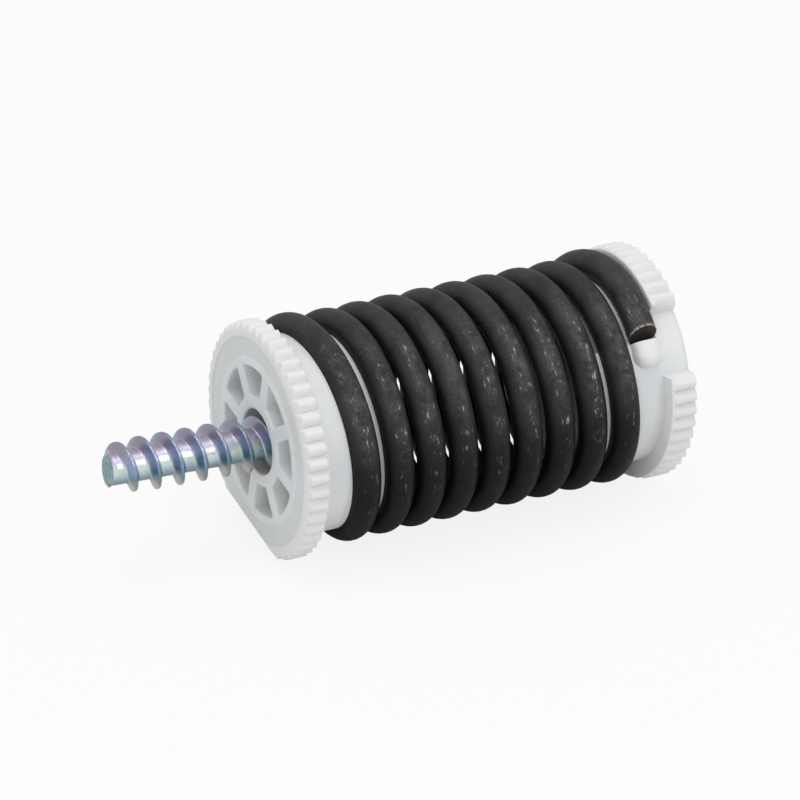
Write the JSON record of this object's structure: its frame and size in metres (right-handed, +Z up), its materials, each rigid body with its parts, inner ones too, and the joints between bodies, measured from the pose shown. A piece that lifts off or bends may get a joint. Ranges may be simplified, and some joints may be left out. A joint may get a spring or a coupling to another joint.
{
  "type": "vibration damper",
  "caption": "Coil-spring vibration damper: black helical spring screwed onto two white ribbed plastic end plugs, with a coarse screw standing out of one plug's bore.",
  "frame": {"origin": "on the floor under the middle of the whole length, screw included", "axes": "+X along the spring from the screw's tip to the rear flange, +Z up"},
  "size_m": [0.0683, 0.0278, 0.0279],
  "materials": {
    "white_nylon": "moulded nylon with a soft sheen",
    "spring_steel": "near-black oiled phosphate, worn brighter along the outer side",
    "zinc_plate": "bright zinc plate with faint blue, pink and yellow bands"
  },
  "bodies": {
    "front_end": {"front_spigot": "white_nylon", "coil_spring": "spring_steel", "screw": "zinc_plate"},
    "rear_end": {"rear_spigot": "white_nylon"}
  },
  "joints": [
    {"name": "spring_stroke", "type": "slide", "parent": "front_end", "child": "rear_end", "axis": [1, 0, 0], "range_m": [-0.0025, 0.003], "stiffness_N_per_m": 14000, "deforming": ["coil_spring"]}
  ]
}
